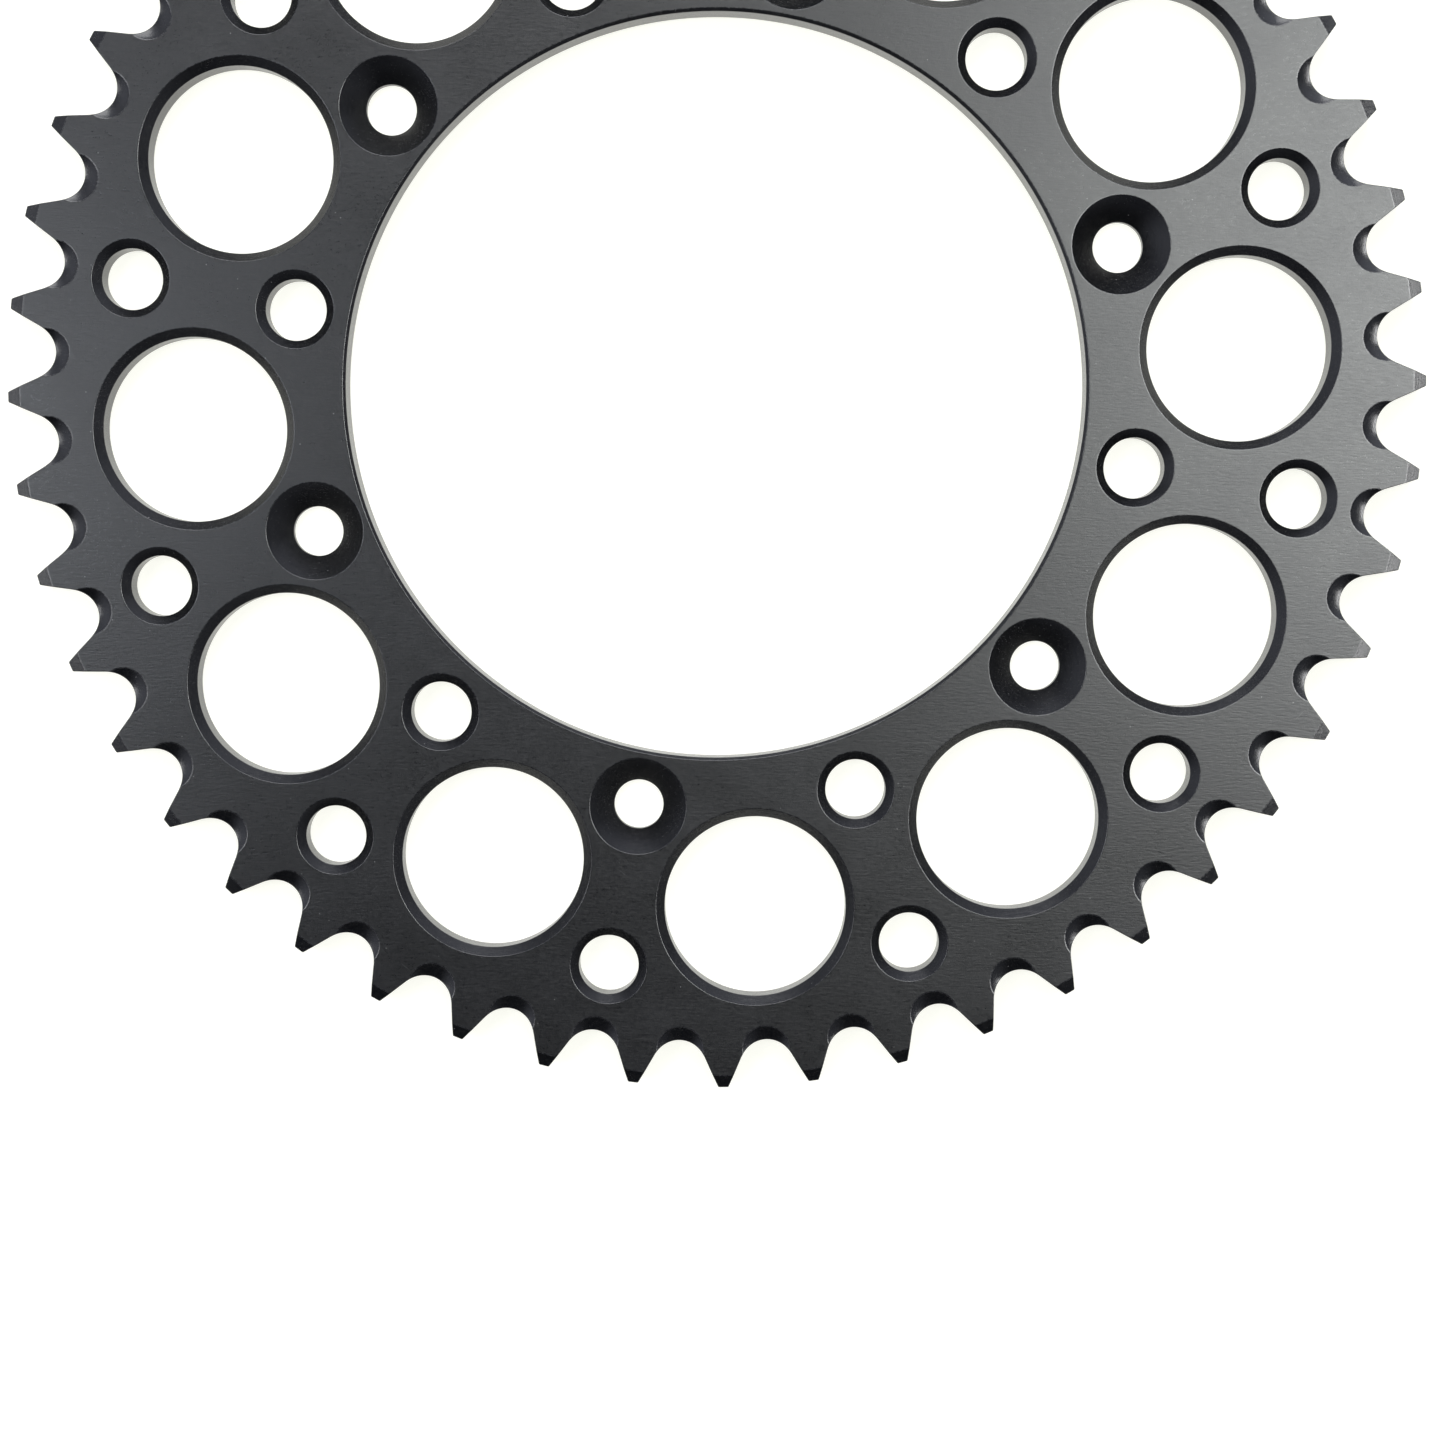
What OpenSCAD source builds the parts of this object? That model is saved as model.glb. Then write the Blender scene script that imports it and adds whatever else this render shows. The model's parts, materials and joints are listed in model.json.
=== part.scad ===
// Rear sprocket for a motorcycle: a flat one-piece plate with chain teeth, a bolt flange and lightening holes.
// It lies on its hub face, which is the plane z = 0. The bore axis is Z, and the countersunk front face looks up.

/* [Plate] */
// Thickness of the plate
thickness = 6; // [5.8:0.1:8]
// Diameter of the centre bore
bore_d = 130; // [110:1:131]
// Width of the 45 degree chamfers on the edges of the bore
bore_chamfer = 0.5; // [0.2:0.1:0.8]

/* [Teeth] */
// Number of teeth
teeth = 48; // [48:1:54]
// Distance between the rollers of the chain
chain_pitch = 15.875; // [15.875, 19.05]
// Diameter of the round seat that each roller sits in
seat_d = 10.2; // [10.1:0.05:10.4]
// Height of the tooth tips above the pitch circle
tip_height = 3.2; // [2:0.1:4]
// Angle between a tooth's flank and the middle line of the gap beside it
flank_angle = 27; // [24:1:28]
// Width of the bevelled band across the tooth tips
tip_bevel_w = 2.3; // [0.5:0.1:3]
// Angle between the bevelled band and the face
tip_bevel_angle = 15; // [10:1:35]

/* [Mud scallops] */
// Radius of a scallop's round outline on the front face
scallop_outline_r = 4.2; // [3.6:0.1:4.6]
// Depth of a scallop at its middle
scallop_depth = 1.2; // [0.5:0.1:3]
// Distance from the root circle out to the middle of a scallop
scallop_offset = 1.5; // [1.2:0.1:2]

/* [Bolt holes] */
// Number of bolt holes
bolts = 6; // [3:1:6]
// Diameter of the circle that the bolt holes lie on
bolt_circle_d = 150; // [150:0.5:151]
// Diameter of a bolt hole
bolt_hole_d = 8.8; // [8.2:0.1:10.4]
// Diameter of the 90 degree countersink at the front face
countersink_d = 17.2; // [13:0.1:17.2]

/* [Lightening holes] */
// Diameter of a large hole
large_d = 32.4; // [24:0.1:32.6]
// Radius of the circle that the large holes lie on
large_circle_r = 92.1; // [92:0.1:93]
// Diameter of a small hole
small_d = 10.7; // [6:0.1:10.9]
// Radius of the circle that the outer small holes lie on
outer_circle_r = 104.2; // [104:0.1:104.4]
// Width of the 45 degree chamfers at the front face
front_chamfer = 1.5; // [0.5:0.1:1.5]
// Width of the 45 degree chamfers at the back face
back_chamfer = 0.4; // [0.2:0.1:0.8]

/* [Hidden] */
$fn = 96;
// How far a cutter runs past the surface that it opens
over = 1;
// How far a flank starts inside the roller seat, so that the two outlines cross instead of only touching
flank_inset = 0.03;
pitch_r = chain_pitch / (2 * sin(180 / teeth));
root_r = pitch_r - seat_d / 2;
tip_r = pitch_r + tip_height;
tip_bevel_depth = tip_bevel_w * tan(tip_bevel_angle);
scallop_sphere_r = (pow(scallop_outline_r, 2) + pow(scallop_depth, 2)) / (2 * scallop_depth);
// There are two large holes and two outer small holes for each bolt
large_holes = 2 * bolts;
bolt_step = 360 / bolts;
large_step = 360 / large_holes;
// One bolt hole and one tooth gap point along -Y
first_angle = -90;

// Copies of the children at even steps around the bore axis, at a given radius
module ring(count, radius, start_angle = first_angle) {
    for (i = [0 : count - 1])
        rotate(start_angle + i * 360 / count)
            translate([radius, 0, 0])
                children();
}

// Disc as it leaves the lathe, with the band at its rim bevelled on both faces
module turned_blank() {
    rotate_extrude()
        polygon([
            [0, 0],
            [tip_r - tip_bevel_w, 0],
            [tip_r, tip_bevel_depth],
            [tip_r, thickness - tip_bevel_depth],
            [tip_r - tip_bevel_w, thickness],
            [0, thickness]
        ]);
}

// Gap between two teeth, drawn with the seat's centre at the origin and +X outwards:
// a round roller seat that opens into two straight flanks
module gap_outline() {
    flank_start_r = seat_d / 2 - flank_inset;
    start_x = -flank_start_r * sin(flank_angle);
    start_y = flank_start_r * cos(flank_angle);
    end_x = tip_height + over;
    end_y = start_y + (end_x - start_x) * tan(flank_angle);
    circle(d = seat_d);
    polygon([[start_x, -start_y], [end_x, -end_y], [end_x, end_y], [start_x, start_y]]);
}

module tooth_gaps() {
    translate([0, 0, -over])
        linear_extrude(thickness + 2 * over)
            ring(teeth, pitch_r)
                gap_outline();
}

// Ball-cut scallops that let mud out of the front of each gap
module mud_scallops() {
    translate([0, 0, thickness + scallop_sphere_r - scallop_depth])
        ring(teeth, root_r + scallop_offset)
            sphere(r = scallop_sphere_r);
}

// Cutter for a through hole with a 45 degree chamfer at each face
module hole(d, at_front, at_back) {
    r = d / 2;
    rotate_extrude()
        polygon([
            [0, -over],
            [r + at_back + over, -over],
            [r, at_back],
            [r, thickness - at_front],
            [r + at_front + over, thickness + over],
            [0, thickness + over]
        ]);
}

module bolt_holes() {
    ring(bolts, bolt_circle_d / 2)
        hole(bolt_hole_d, (countersink_d - bolt_hole_d) / 2, back_chamfer);
}

// Large holes, an outer small hole between each two of them, and an inner small hole between each two bolts
module lightening_holes() {
    ring(large_holes, large_circle_r, first_angle + large_step / 2)
        hole(large_d, front_chamfer, back_chamfer);
    ring(large_holes, outer_circle_r)
        hole(small_d, front_chamfer, back_chamfer);
    ring(bolts, bolt_circle_d / 2, first_angle + bolt_step / 2)
        hole(small_d, front_chamfer, back_chamfer);
}

module sprocket() {
    color([0.2, 0.2, 0.22])
        difference() {
            turned_blank();
            hole(bore_d, bore_chamfer, bore_chamfer);
            tooth_gaps();
            mud_scallops();
            bolt_holes();
            lightening_holes();
        }
}

sprocket();
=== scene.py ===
# Looks of a motorcycle rear sprocket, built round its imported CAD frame.
# The CAD plate is remade as one closed mesh with the same sizes, in which every machined edge is
# slightly rounded, so that the edges catch the light. All lengths are in metres; +Z points away from
# the wheel hub.
import json
import math

import bmesh
import bpy
from mathutils import Matrix, Vector
from mathutils.geometry import delaunay_2d_cdt


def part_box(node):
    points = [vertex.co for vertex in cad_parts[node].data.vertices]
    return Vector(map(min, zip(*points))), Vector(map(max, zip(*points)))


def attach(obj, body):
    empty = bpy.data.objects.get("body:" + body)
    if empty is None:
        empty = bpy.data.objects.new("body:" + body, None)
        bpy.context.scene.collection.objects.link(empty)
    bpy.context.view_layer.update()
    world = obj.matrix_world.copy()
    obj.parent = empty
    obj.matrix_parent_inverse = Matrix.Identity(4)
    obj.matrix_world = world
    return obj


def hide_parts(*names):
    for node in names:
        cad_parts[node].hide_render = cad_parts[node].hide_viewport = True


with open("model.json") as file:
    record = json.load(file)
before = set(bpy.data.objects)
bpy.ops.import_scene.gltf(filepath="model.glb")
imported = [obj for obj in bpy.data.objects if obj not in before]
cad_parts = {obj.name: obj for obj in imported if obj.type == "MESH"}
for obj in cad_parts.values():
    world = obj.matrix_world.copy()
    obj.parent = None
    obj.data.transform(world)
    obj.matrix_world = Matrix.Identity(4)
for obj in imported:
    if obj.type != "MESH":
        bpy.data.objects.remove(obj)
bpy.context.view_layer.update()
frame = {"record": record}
mounts = {m["name"]: m for m in frame["record"]["mounts"]}

MM = 0.001

# Plate, from the frame
PLATE_LOW, PLATE_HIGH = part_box("sprocket")
THICKNESS = PLATE_HIGH.z - PLATE_LOW.z
BORE_R = mounts["bore"]["dims"]["r_mm"] * MM
BOLT_CIRCLE_R = mounts["bolt_circle"]["dims"]["pcd_mm"] * MM / 2
BOLT_HOLE_R = mounts["bolt_circle"]["dims"]["hole_r_mm"] * MM
BOLTS = mounts["bolt_circle"]["dims"]["count"]
SEAT_R = mounts["chain_seat"]["dims"]["r_mm"] * MM
ROOT_R = Vector(mounts["chain_seat"]["pos_m"]).xy.length

# Teeth
TEETH = 48
PITCH_R = ROOT_R + SEAT_R
TIP_R = PITCH_R + 3.2 * MM
FLANK_ANGLE = math.radians(27)
TIP_BEVEL_W = 2.3 * MM
TIP_BEVEL_ANGLE = math.radians(15)
TIP_CORNER_R = 0.3 * MM
HALF_PITCH = math.pi / TEETH

# Ball-cut scallop at the front of each tooth gap
SCALLOP_OUTLINE_R = 4.2 * MM
SCALLOP_DEPTH = 1.2 * MM
SCALLOP_CENTRE_R = ROOT_R + 1.5 * MM
SCALLOP_BALL_R = (SCALLOP_OUTLINE_R**2 + SCALLOP_DEPTH**2) / (2 * SCALLOP_DEPTH)

# Holes
LARGE_R = 16.2 * MM
LARGE_CIRCLE_R = 92.1 * MM
SMALL_R = 5.35 * MM
OUTER_CIRCLE_R = 104.2 * MM
COUNTERSINK_R = 8.6 * MM
FRONT_CHAMFER = 1.5 * MM
BACK_CHAMFER = 0.4 * MM
BORE_CHAMFER = 0.5 * MM

# Rounding of the machined edges. A crease is rounded as far as its reach on either side, and the depth
# over which its two surfaces are blended follows from the slope between them.
WALL_EDGE_R = 0.15 * MM
HOLE_EDGE_R = 0.15 * MM
SCALLOP_REACH = 0.14 * MM
BEVEL_REACH = 0.14 * MM
SCALLOP_BLEND = SCALLOP_REACH * SCALLOP_OUTLINE_R / (SCALLOP_BALL_R - SCALLOP_DEPTH)
BEVEL_BLEND = BEVEL_REACH * math.tan(TIP_BEVEL_ANGLE)
# Points across a crease, as (share of the reach, wear there)
CREASE = [(1.0, 0.0), (0.5, 0.6), (0.0, 1.0), (-0.5, 0.6), (-1.0, 0.0)]

# Mesh: the toothed rim is made in tiles of half a tooth pitch, outside RIM_R, and the web fills the
# inside. The rows of points on a tile end at EDGE_MARGIN from the gap's walls, and points that lie
# within WELD of each other are joined.
RIM_R = 112.4 * MM
RIM_STEPS = 3
SEAT_STEPS = 16
FLANK_STEPS = 8
SCALLOP_RINGS = 6
SCALLOP_RING = 0.4 * MM
SCALLOP_STEP = math.radians(6)
BEVEL_STEP = HALF_PITCH / 12
CORNER_STEPS = 6
EDGE_STEPS = 3
EDGE_MARGIN = 1.3 * WALL_EDGE_R
BORE_STEPS = 336
LARGE_STEPS = 112
SMALL_STEPS = 60
WELD = 0.002 * MM

# The plate lies turned clockwise by this angle in the picture
PICTURE_TURN = math.radians(10.65)


def unit(angle):
    """Unit vector in the plane of the plate, at an angle from +X."""
    return Vector((math.cos(angle), math.sin(angle)))


def fill(points, edges):
    """Triangles that fill the outlines drawn by edges between points in the plane, as lists of indices.
    The points go in as millimetres, so that even the shortest edges are far longer than the tolerance."""
    inside_only = 1
    tolerance = 1e-7
    filled = delaunay_2d_cdt([p / MM for p in points], edges, [], inside_only, tolerance)
    _, _, triangles, origins, _, _ = filled
    return [[origins[i][0] for i in triangle] for triangle in triangles]


class Shell:
    """Points and faces gathered from the parts of the plate's surface, before they are welded together.
    Each point has its true normal, a wear value, from 0 on open metal to 1 in the middle of a rounded
    edge, and a turned value: how many millimetres of a cut's section lie between it and the nearer face,
    or 0 on that face."""

    def __init__(self):
        self.points = []
        self.normals = []
        self.faces = []
        self.values = {"wear": [], "turned": []}

    def add(self, points, normals, faces, wear=None, turned=None):
        """Take in a patch of surface, whose faces count its own points from 0."""
        first = len(self.points)
        self.points += points
        self.normals += normals
        self.faces += [[first + i for i in face] for face in faces]
        self.values["wear"] += wear or [0.0] * len(points)
        self.values["turned"] += turned or [0.0] * len(points)

    def build(self, name):
        """Weld the patches into one closed mesh that shades with the true normals."""
        mesh = bpy.data.meshes.new(name)
        mesh.from_pydata(self.points, [], self.faces)
        for attribute, values in self.values.items():
            mesh.attributes.new(attribute, "FLOAT", "POINT").data.foreach_set("value", values)
        true_normals = mesh.attributes.new("true_normal", "FLOAT_VECTOR", "POINT")
        true_normals.data.foreach_set("vector", [number for normal in self.normals for number in normal])
        welded = bmesh.new()
        welded.from_mesh(mesh)
        bmesh.ops.remove_doubles(welded, verts=welded.verts, dist=WELD)
        bmesh.ops.recalc_face_normals(welded, faces=welded.faces)
        welded.to_mesh(mesh)
        welded.free()
        mesh.shade_smooth()
        vertex_normals = [value.vector.copy() for value in mesh.attributes["true_normal"].data]
        mesh.normals_split_custom_set_from_vertices(vertex_normals)
        mesh.attributes.remove(mesh.attributes["true_normal"])
        piece = bpy.data.objects.new(name, mesh)
        bpy.context.scene.collection.objects.link(piece)
        return piece


# ---------------------------------------------------------------- toothed rim
# A tile is drawn with the middle line of a tooth gap along +Y, and reaches to the middle line of the
# next tooth.

GAP_LINE = math.pi / 2
TOOTH_LINE = GAP_LINE - HALF_PITCH
SEAT_CENTRE = Vector((0, PITCH_R))
SCALLOP_CENTRE = Vector((0, SCALLOP_CENTRE_R))
FLANK_NORMAL = unit(-FLANK_ANGLE)
FLANK_START = SEAT_CENTRE + FLANK_NORMAL * SEAT_R


def half_outline():
    """Outline of half a tooth gap, as pairs of a point and the unit normal that points into the metal."""
    outline = []
    seat_sweep = GAP_LINE - FLANK_ANGLE
    for i in range(SEAT_STEPS + 1):
        normal = unit(-GAP_LINE + seat_sweep * i / SEAT_STEPS)
        outline.append((SEAT_CENTRE + normal * SEAT_R, normal))
    along_flank = unit(GAP_LINE - FLANK_ANGLE)
    tip = unit(TOOTH_LINE)
    corner_start = FLANK_START + FLANK_NORMAL * TIP_CORNER_R
    flank_length = (TIP_R - TIP_CORNER_R - corner_start.dot(tip)) / along_flank.dot(tip)
    for i in range(1, FLANK_STEPS + 1):
        outline.append((FLANK_START + along_flank * flank_length * i / FLANK_STEPS, FLANK_NORMAL))
    corner_centre = corner_start + along_flank * flank_length
    corner_sweep = math.pi - TOOTH_LINE - FLANK_ANGLE
    for i in range(1, CORNER_STEPS + 1):
        normal = unit(-FLANK_ANGLE - corner_sweep * i / CORNER_STEPS)
        outline.append((corner_centre - normal * TIP_CORNER_R, normal))
    outline.append((tip * TIP_R, -tip))
    return outline


def larger(a, b, blend):
    """The larger of two depths, with the crease between them rounded."""
    overlap = max(blend - abs(a - b), 0) / blend
    return max(a, b) + overlap * overlap * blend / 4


def depth(point, scalloped):
    """How far the rim's surface lies below the plate's face."""
    beyond_bevel = point.length - (TIP_R - TIP_BEVEL_W)
    below = larger(0, beyond_bevel * math.tan(TIP_BEVEL_ANGLE), BEVEL_BLEND)
    from_centre = (point - SCALLOP_CENTRE).length
    if scalloped and from_centre < SCALLOP_BALL_R:
        ball = math.sqrt(SCALLOP_BALL_R**2 - from_centre**2) - (SCALLOP_BALL_R - SCALLOP_DEPTH)
        below = larger(below, ball, SCALLOP_BLEND)
    return below


def face_normal(point, scalloped):
    """Unit normal of the rim's front face at a point, from the slope of its depth."""
    step = 0.01 * MM
    slopes = [
        (depth(point + axis * step, scalloped) - depth(point - axis * step, scalloped)) / (2 * step)
        for axis in (Vector((1, 0)), Vector((0, 1)))
    ]
    return Vector((*slopes, 1)).normalized()


def turned_length(point, scalloped):
    """How many millimetres of the tip bevel's or the scallop's section lie between a point and the
    uncut face."""
    bevel = point.length - (TIP_R - TIP_BEVEL_W)
    scallop = SCALLOP_OUTLINE_R - (point - SCALLOP_CENTRE).length if scalloped else 0.0
    return max(bevel, scallop, 0.0) / MM


def arc(centre, radius, start, step, inside):
    """Points along an arc, for as long as they stay inside the metal."""
    points = []
    while inside(point := centre + unit(start + step * len(points)) * radius):
        points.append(point)
    return points


def clear_of_seat(point):
    return (point - SEAT_CENTRE).length > SEAT_R + EDGE_MARGIN


def clear_of_flank(point):
    return (point - FLANK_START).dot(FLANK_NORMAL) > EDGE_MARGIN


def rim_tile(scalloped):
    """One half pitch of the rim's face: its points (with their depths below the face), normals, faces,
    wear and turned values, and the row of points where it meets the walls of the tooth gap."""
    flat, drops, normals, wear, edges = [], [], [], [], []

    def chain(points, worn=0.0):
        """Add a row of points on the face, joined one to the next."""
        first = len(flat)
        flat.extend(points)
        drops.extend([0.0] * len(points))
        normals.extend(face_normal(point, scalloped) for point in points)
        wear.extend([worn] * len(points))
        indices = list(range(first, len(flat)))
        edges.extend(zip(indices, indices[1:]))
        return indices

    inner = chain([unit(GAP_LINE - HALF_PITCH * i / RIM_STEPS) * RIM_R for i in range(RIM_STEPS + 1)])
    gap_side = [inner[0]]
    tooth_side = [inner[-1]]
    if scalloped:
        crease = [(share * SCALLOP_REACH, worn) for share, worn in CREASE]
        for offset, worn in crease + [(-SCALLOP_RING * i, 0.0) for i in range(1, SCALLOP_RINGS + 1)]:
            radius = SCALLOP_OUTLINE_R + offset
            indices = chain(arc(SCALLOP_CENTRE, radius, -GAP_LINE, SCALLOP_STEP, clear_of_seat), worn)
            gap_side += indices[:1]
    crease = [(-share * BEVEL_REACH, worn) for share, worn in CREASE]
    for offset, worn in crease + [(TIP_BEVEL_W / 2, 0.0)]:
        radius = TIP_R - TIP_BEVEL_W + offset
        indices = chain(arc(Vector((0, 0)), radius, TOOTH_LINE, BEVEL_STEP, clear_of_flank), worn)
        tooth_side += indices[:1]
    outline = half_outline()
    for i in range(EDGE_STEPS, -1, -1):
        turn = math.pi / 2 * i / EDGE_STEPS
        inset = WALL_EDGE_R * (1 - math.cos(turn))
        border = chain([p + normal * inset for p, normal in outline], math.sin(2 * turn))
        for index, (_, normal) in zip(border, outline):
            drops[index] = WALL_EDGE_R * (1 - math.sin(turn))
            normals[index] = normals[index] * math.sin(turn) - normal.to_3d() * math.cos(turn)
        gap_side.append(border[0])
        tooth_side.append(border[-1])
    for side in (gap_side, tooth_side):
        edges.extend(zip(side, side[1:]))

    faces = fill(flat, edges)
    points = [Vector((p.x, p.y, depth(p, scalloped) + drop)) for p, drop in zip(flat, drops)]
    turned = [turned_length(p, scalloped) for p in flat]
    return points, normals, faces, wear, turned, border


def add_rim(shell):
    """Tiles all round the rim, on both faces, and the walls of the tooth gaps between them."""
    front_points, front_normals, front_faces, front_wear, front_turned, front_border = rim_tile(True)
    back_points, back_normals, back_faces, back_wear, back_turned, back_border = rim_tile(False)
    count = len(front_border)
    walls = [[i, i + 1, count + i + 1, count + i] for i in range(count - 1)]
    wall_turned = [front_turned[i] for i in front_border] + [back_turned[i] for i in back_border]
    for gap in range(TEETH):
        turn = Matrix.Rotation(gap * 2 * HALF_PITCH, 3, "Z")
        for mirror in (-1, 1):
            upright = turn @ Matrix.Diagonal((mirror, 1, 1))
            flipped = turn @ Matrix.Diagonal((mirror, 1, -1))
            front = [flipped @ p + Vector((0, 0, THICKNESS)) for p in front_points]
            back = [upright @ p for p in back_points]
            shell.add(front, [upright @ n for n in front_normals], front_faces, front_wear, front_turned)
            shell.add(back, [flipped @ n for n in back_normals], back_faces, back_wear, back_turned)
            wall_points = [front[i] for i in front_border] + [back[i] for i in back_border]
            facing = [upright @ front_normals[i] for i in front_border]
            shell.add(wall_points, facing + facing, walls, turned=wall_turned)


# ---------------------------------------------------------------- holes and web

def rounded(corners, radius):
    """A section with each inner corner rounded, as a list of (point, unit normal, wear). Its ends are
    level."""
    up = Vector((0, 1))
    outline = [(corners[0], up, 0.0)]
    for before, corner, after in zip(corners, corners[1:], corners[2:]):
        back = (before - corner).normalized()
        ahead = (after - corner).normalized()
        half_angle = back.angle(ahead) / 2
        middle = corner + (back + ahead).normalized() * radius / math.sin(half_angle)
        reach = radius / math.tan(half_angle)
        start = (corner + back * reach - middle).normalized()
        end = (corner + ahead * reach - middle).normalized()
        for i in range(EDGE_STEPS + 1):
            share = i / EDGE_STEPS
            normal = start.slerp(end, share)
            outline.append((middle + normal * radius, normal, math.sin(math.pi * share)))
    outline.append((corners[-1], -up, 0.0))
    return outline


def hole_profile(radius, at_front, at_back):
    """Section through a hole's edge from the front face to the back face. Its points are (distance from
    the hole's axis, height)."""
    margin = 0.2 * MM
    return rounded(
        [
            Vector((radius + at_front + margin, THICKNESS)),
            Vector((radius + at_front, THICKNESS)),
            Vector((radius, THICKNESS - at_front)),
            Vector((radius, at_back)),
            Vector((radius + at_back, 0)),
            Vector((radius + at_back + margin, 0)),
        ],
        HOLE_EDGE_R,
    )


def all_holes():
    """Every hole as (centre, section, number of steps round it)."""
    centre_bore = hole_profile(BORE_R, BORE_CHAMFER, BORE_CHAMFER)
    bolt = hole_profile(BOLT_HOLE_R, COUNTERSINK_R - BOLT_HOLE_R, BACK_CHAMFER)
    large = hole_profile(LARGE_R, FRONT_CHAMFER, BACK_CHAMFER)
    small = hole_profile(SMALL_R, FRONT_CHAMFER, BACK_CHAMFER)
    holes = [(Vector((0, 0)), centre_bore, BORE_STEPS)]
    step = math.pi / BOLTS
    for i in range(BOLTS):
        angle = -math.pi / 2 + 2 * step * i
        holes.append((unit(angle) * BOLT_CIRCLE_R, bolt, SMALL_STEPS))
        holes.append((unit(angle + step) * BOLT_CIRCLE_R, small, SMALL_STEPS))
    for i in range(2 * BOLTS):
        angle = -math.pi / 2 + step * i
        holes.append((unit(angle) * OUTER_CIRCLE_R, small, SMALL_STEPS))
        holes.append((unit(angle + step / 2) * LARGE_CIRCLE_R, large, LARGE_STEPS))
    return holes


def circle(centre, radius, steps):
    return [centre + unit(2 * math.pi * i / steps) * radius for i in range(steps)]


def add_hole_walls(shell, centre, profile, steps):
    """A hole's section swept round its axis, with its chamfers and rounded edges."""
    points, normals, wear, turned = [], [], [], []
    lengths = [(after[0] - before[0]).length / MM for before, after in zip(profile, profile[1:])]
    for row, (place, normal, worn) in enumerate(profile):
        points += [(*p, place.y) for p in circle(centre, place.x, steps)]
        normals += [(*n, normal.y) for n in circle(Vector((0, 0)), normal.x, steps)]
        wear += [worn] * steps
        turned += [min(sum(lengths[:row]), sum(lengths[row:]))] * steps
    faces = []
    for row in range(len(profile) - 1):
        for i in range(steps):
            j = (i + 1) % steps
            low, high = row * steps, (row + 1) * steps
            faces.append([low + i, low + j, high + j, high + i])
    shell.add(points, normals, faces, wear, turned)


def add_web(shell, holes, height, end):
    """The flat face inside the rim, with the holes left open. end picks each hole section's first or
    last point."""
    normal = (0, 0, 1 if height else -1)
    flat = circle(Vector((0, 0)), RIM_R, 2 * TEETH * RIM_STEPS)
    edges = [[i, (i + 1) % len(flat)] for i in range(len(flat))]
    openings = []
    for centre, profile, steps in holes:
        radius = profile[end][0].x
        openings.append((centre, radius))
        first = len(flat)
        flat += circle(centre, radius, steps)
        edges += [[first + i, first + (i + 1) % steps] for i in range(steps)]
    faces = []
    for face in fill(flat, edges):
        middle = sum((flat[i] for i in face), Vector((0, 0))) / len(face)
        if all((middle - centre).length > radius for centre, radius in openings):
            faces.append(face)
    shell.add([(*p, height) for p in flat], [normal] * len(flat), faces)


def make_plate():
    shell = Shell()
    holes = all_holes()
    add_rim(shell)
    add_web(shell, holes, height=THICKNESS, end=0)
    add_web(shell, holes, height=0.0, end=-1)
    for hole in holes:
        add_hole_walls(shell, *hole)
    return shell.build("sprocket_plate")


# ---------------------------------------------------------------- material

class Nodes:
    """Short way to add and link the nodes of one material or world."""

    def __init__(self, owner):
        owner.use_nodes = True
        self.tree = owner.node_tree

    def add(self, kind, inputs=(), **settings):
        node = self.tree.nodes.new(kind)
        for name, value in settings.items():
            setattr(node, name, value)
        for name, value in dict(inputs).items():
            self.feed(node, name, value)
        return node

    def feed(self, node, name, value):
        if isinstance(value, bpy.types.NodeSocket):
            self.tree.links.new(value, node.inputs[name])
        else:
            node.inputs[name].default_value = value

    def place(self):
        return self.add("ShaderNodeTexCoord").outputs["Object"]

    def direction(self, axis):
        """How far a world's ray points along an axis, from -1 to 1."""
        ray = self.add("ShaderNodeTexCoord").outputs["Generated"]
        return self.add("ShaderNodeSeparateXYZ", {"Vector": ray}).outputs[axis]

    def attribute(self, name):
        return self.add("ShaderNodeAttribute", attribute_name=name).outputs["Fac"]

    def noise(self, place, size, detail=2.0):
        """Noise from 0 to 1 whose features are about that size, in metres."""
        settings = {"Vector": place, "Scale": 1 / size, "Detail": detail}
        return self.add("ShaderNodeTexNoise", settings).outputs["Fac"]

    def ramp(self, value, low, high, to_low=0.0, to_high=1.0):
        """The value stretched from low..high to to_low..to_high, and cut off there."""
        limits = {"Value": value, "From Min": low, "From Max": high, "To Min": to_low, "To Max": to_high}
        return self.add("ShaderNodeMapRange", limits).outputs["Result"]

    def math(self, operation, a, b):
        return self.add("ShaderNodeMath", {0: a, 1: b}, operation=operation).outputs["Value"]

    def mix(self, share, a, b):
        """A colour that goes from a to b as the share goes from 0 to 1."""
        colour_a, colour_b, colour_result = 6, 7, 2
        inputs = {"Factor": share, colour_a: a, colour_b: b}
        return self.add("ShaderNodeMix", inputs, data_type="RGBA").outputs[colour_result]

    def stretched(self, place, stretch, turn=0.0):
        """The place to read a pattern from, so that the pattern is stretched along X, then turned back."""
        aligned = self.add("ShaderNodeMapping", {"Vector": place, "Rotation": (0, 0, turn)})
        shorter = {0: aligned.outputs["Vector"], 1: (1 / stretch, 1, 1)}
        return self.add("ShaderNodeVectorMath", shorter, operation="MULTIPLY").outputs["Vector"]

    def marks(self, place, spacing, reach):
        """Sparse marks, 1 in their middle and 0 past their reach."""
        cells = self.add("ShaderNodeTexVoronoi", {"Vector": place, "Scale": 1 / spacing})
        return self.ramp(cells.outputs["Distance"], 0.0, reach / spacing, 1.0, 0.0)


def scuff_marks(nodes, place, fine_grain):
    """Short scratches in two directions, broken up by the grain."""
    one_way = nodes.marks(nodes.stretched(place, 12, turn=0.5), 3 * MM, 0.11 * MM)
    other_way = nodes.marks(nodes.stretched(place, 16, turn=-1.0), 3 * MM, 0.09 * MM)
    scuffs = nodes.math("MAXIMUM", one_way, other_way)
    return nodes.math("MULTIPLY", scuffs, nodes.ramp(fine_grain, 0.4, 0.6, 0.2, 0.8))


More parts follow.
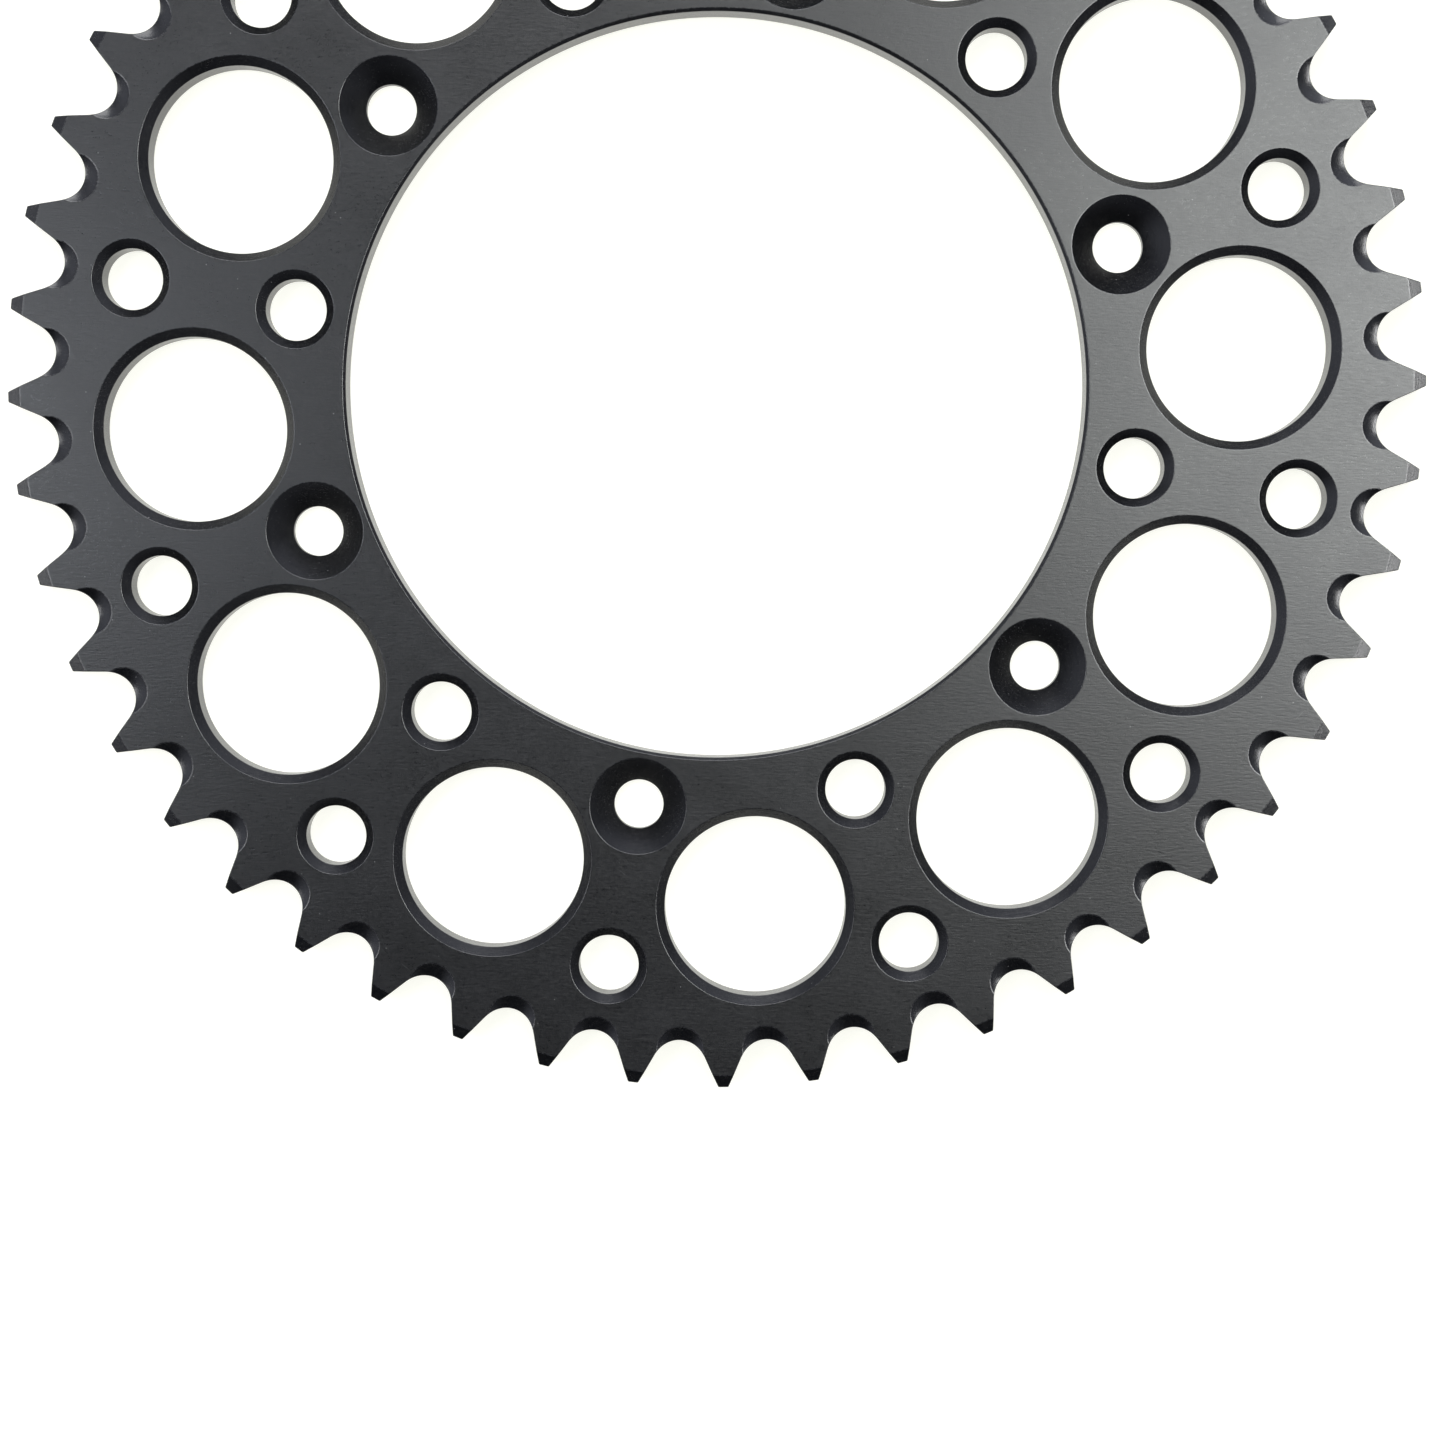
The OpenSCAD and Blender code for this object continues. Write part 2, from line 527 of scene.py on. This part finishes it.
def coat_colour(nodes, cloud, grain, worn, scuffs, specks):
    """Bluish black with faint clouding and grain, and paler where the coat is worn, scuffed or specked."""
    clouding = nodes.ramp(cloud, 0.3, 0.7)
    coat = nodes.mix(clouding, (0.0020, 0.0023, 0.0030, 1), (0.0036, 0.0039, 0.0058, 1))
    coat = nodes.mix(nodes.ramp(grain, 0.4, 0.7), coat, (0.011, 0.011, 0.011, 1))
    coat = nodes.mix(nodes.math("MULTIPLY", worn, 0.25), coat, (0.16, 0.16, 0.165, 1))
    coat = nodes.mix(nodes.math("MULTIPLY", scuffs, 0.5), coat, (0.14, 0.14, 0.14, 1))
    return nodes.mix(nodes.math("MULTIPLY", specks, 0.8), coat, (0.35, 0.35, 0.34, 1))


def coat_roughness(nodes, cloud, grain, brushed, cut):
    """Satin, and smoother on the cuts and the rounded edges."""
    satin = nodes.ramp(cloud, 0.3, 0.7, 0.315, 0.36)
    satin = nodes.math("ADD", satin, nodes.ramp(grain, 0.35, 0.65, -0.05, 0.05))
    satin = nodes.math("ADD", satin, nodes.ramp(brushed, 0.3, 0.7, -0.03, 0.03))
    smoother = nodes.math("MULTIPLY", nodes.math("MAXIMUM", cut, nodes.attribute("wear")), 0.12)
    return nodes.math("SUBTRACT", satin, smoother)


def coat_relief(nodes, grain, brushed, cut):
    """Normal of the coat's fine relief: its grain, the brushed streaks and the tool marks of the cuts."""
    marks_per_mm = 6.0
    turned = {"W": nodes.attribute("turned"), "Scale": marks_per_mm}
    tool_marks = nodes.add("ShaderNodeTexNoise", turned, noise_dimensions="1D").outputs["Fac"]
    height = nodes.math("ADD", grain, nodes.math("MULTIPLY", tool_marks, 0.6))
    height = nodes.math("ADD", height, nodes.math("MULTIPLY", brushed, nodes.math("SUBTRACT", 1.6, cut)))
    bump = nodes.add("ShaderNodeBump", {"Height": height, "Strength": 0.3, "Distance": 0.05 * MM})
    return bump.outputs["Normal"]


def anodised_aluminium():
    """Hard-anodised aluminium: a black satin coat with a fine grain, faint clouding and short brushed
    streaks, smoother cuts with turned tool marks, thin worn edges, and a few specks and scuffs."""
    material = bpy.data.materials.new("anodised_aluminium")
    nodes = Nodes(material)
    shader = nodes.tree.nodes["Principled BSDF"]
    place = nodes.place()
    fine_grain = nodes.noise(place, 0.15 * MM, 3.0)
    coarse_grain = nodes.noise(place, 0.6 * MM, 3.0)
    cloud = nodes.noise(place, 11 * MM, 4.0)
    brushed = nodes.noise(nodes.stretched(place, 5, turn=-PICTURE_TURN), 0.35 * MM, 3.0)
    fine_share = nodes.math("MULTIPLY", fine_grain, 0.6)
    grain = nodes.math("ADD", fine_share, nodes.math("MULTIPLY", coarse_grain, 0.4))

    worn = nodes.math("MULTIPLY", nodes.attribute("wear"), nodes.ramp(coarse_grain, 0.35, 0.65, 0.3, 1.0))
    specks = nodes.marks(place, 3.2 * MM, 0.13 * MM)
    scuffs = scuff_marks(nodes, place, fine_grain)
    cut = nodes.ramp(nodes.attribute("turned"), 0.0, 0.2)
    nodes.feed(shader, "Base Color", coat_colour(nodes, cloud, grain, worn, scuffs, specks))
    nodes.feed(shader, "Roughness", coat_roughness(nodes, cloud, grain, brushed, cut))
    nodes.feed(shader, "Normal", coat_relief(nodes, grain, brushed, cut))
    nodes.feed(shader, "Metallic", 0.0)
    nodes.feed(shader, "IOR", 1.6)
    return material


def paper(name, whiteness, glow):
    """Backlit sheet with a barely visible tooth, painted into its colour as lighter tops and shaded
    hollows. glow is the colour and brightness of the light that comes through it."""
    material = bpy.data.materials.new(name)
    nodes = Nodes(material)
    shader = nodes.tree.nodes["Principled BSDF"]
    # Painted shade: the tooth has no relief. Its hollows take a darker, warmer copy of the sheet's colour
    # in place of their shade, and its tops take the lighter copy.
    tooth = nodes.ramp(nodes.noise(nodes.place(), 0.6 * MM), 0.3, 0.7)
    lit_top = [whiteness, whiteness, 0.96 * whiteness, 1]
    shaded_hollow = [0.98 * whiteness, 0.98 * whiteness, 0.94 * whiteness, 1]
    nodes.feed(shader, "Base Color", nodes.mix(tooth, shaded_hollow, lit_top))
    nodes.feed(shader, "Roughness", 0.9)
    nodes.feed(shader, "Emission Color", (*glow, 1))
    nodes.feed(shader, "Emission Strength", 1.0)
    return material


# ---------------------------------------------------------------- camera, lights and floor
# Directions across the picture, which is taken from above

PICTURE_RIGHT = unit(PICTURE_TURN)
PICTURE_UP = unit(PICTURE_TURN + math.pi / 2)


def beside(right, up, height):
    """A point that lies right and up of the bore's axis as the picture shows it, at a height above the
    floor."""
    return Vector((*(PICTURE_RIGHT * right + PICTURE_UP * up), height))


def make_camera():
    data = bpy.data.cameras.new("camera")
    data.sensor_width = 36
    data.lens = 59.2
    camera = bpy.data.objects.new("camera", data)
    bpy.context.scene.collection.objects.link(camera)
    camera.location = beside(3.9 * MM, -25.6 * MM, THICKNESS + 420 * MM)
    camera.rotation_mode = "YXZ"
    camera.rotation_euler = (math.radians(-4.51), math.radians(0.37), PICTURE_TURN)
    bpy.context.scene.camera = camera


def softbox(name, tilt, towards, width, height, radiance, colour=(1, 1, 1), lights_floor=True):
    """A rectangular area light, a metre from the plate and facing it, with an even radiance. tilt is its
    angle from overhead, and towards is its direction in the picture, anticlockwise from the right, both
    in degrees. One that doesn't light the floor is only seen as a gloss on the metal."""
    data = bpy.data.lights.new(name, "AREA")
    data.shape = "RECTANGLE"
    data.size = width
    data.size_y = height
    data.energy = radiance * math.pi * width * height
    data.color = colour
    lamp = bpy.data.objects.new(name, data)
    bpy.context.scene.collection.objects.link(lamp)
    level = unit(math.radians(towards)) * math.sin(math.radians(tilt))
    lamp.location = beside(level.x, level.y, math.cos(math.radians(tilt)))
    lamp.rotation_mode = "QUATERNION"
    lamp.rotation_quaternion = (-lamp.location).to_track_quat("-Z", "Y")
    lamp.visible_camera = False
    lamp.visible_diffuse = lights_floor


def make_lights():
    greenish = (0.97, 1.0, 0.98)
    bluish = (0.9, 0.96, 1.05)
    softbox(
        "key", tilt=27, towards=28, width=0.5, height=0.5, radiance=6.3, colour=greenish, lights_floor=False
    )
    softbox("window", tilt=48, towards=95, width=0.7, height=0.7, radiance=4.2)
    softbox("left_fill", tilt=28, towards=174, width=0.22, height=0.35, radiance=4.6, colour=bluish)
    softbox("right_fill", tilt=20, towards=6, width=0.4, height=0.4, radiance=2.8, colour=greenish)
    softbox("right_lamp", tilt=40.5, towards=0, width=0.6, height=0.28, radiance=11.5, lights_floor=False)
    softbox("left_lamp", tilt=40, towards=-175, width=0.34, height=0.24, radiance=6.3)


def stage_piece(name, points, faces, material):
    below_plate = 0.05 * MM
    mesh = bpy.data.meshes.new(name)
    mesh.from_pydata(points, [], faces)
    mesh.materials.append(material)
    piece = bpy.data.objects.new(name, mesh)
    piece.location.z = PLATE_LOW.z - below_plate
    bpy.context.scene.collection.objects.link(piece)
    return piece


def make_floor():
    """A round sheet under the plate, and a plain wall at its edge, which low views see and which lights
    nothing."""
    steps = 96
    floor_radius = 6.0
    wall_height = 4.0
    edge = [(*p, 0.0) for p in circle(Vector((0, 0)), floor_radius, steps)]
    top = [(x, y, wall_height) for x, y, _ in edge]
    stage_piece("floor", edge, [range(steps)], paper("paper", 0.35, (0.89, 0.89, 0.82)))
    panels = [(i, (i + 1) % steps, steps + (i + 1) % steps, steps + i) for i in range(steps)]
    wall = stage_piece("far_wall", edge + top, panels, paper("far_paper", 0.05, (1.0, 1.0, 0.98)))
    wall.visible_diffuse = False
    wall.visible_glossy = False
    wall.visible_shadow = False


def make_world():
    """A dim room whose far wall (+Y) and side walls are paler, with a pale band along the horizon."""
    world = bpy.data.worlds.new("world")
    nodes = Nodes(world)
    background = nodes.tree.nodes["Background"]
    far_wall = nodes.ramp(nodes.direction("Y"), 0.2, 1.0, 0.03, 1.5)
    right_wall = nodes.ramp(nodes.direction("X"), 0.4, 0.95, 0.03, 0.4)
    left_wall = nodes.ramp(nodes.direction("X"), -0.95, -0.4, 1.0, 0.03)
    height = nodes.ramp(nodes.direction("Z"), 0.1, 0.5, 0.4, 1.0)
    walls = nodes.math("MAXIMUM", far_wall, nodes.math("MAXIMUM", right_wall, left_wall))
    walls = nodes.math("MULTIPLY", walls, height)
    horizon = nodes.ramp(nodes.direction("Z"), 0.0, 0.25, 0.35, 0.03)
    nodes.feed(background, "Strength", nodes.math("MAXIMUM", walls, horizon))
    nodes.feed(background, "Color", (0.88, 0.92, 1.08, 1))
    bpy.context.scene.world = world


make_camera()
make_lights()
make_world()
make_floor()
bpy.context.scene.view_settings.view_transform = "Standard"

plate = make_plate()
plate.data.materials.append(anodised_aluminium())
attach(plate, "root")
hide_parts("sprocket")
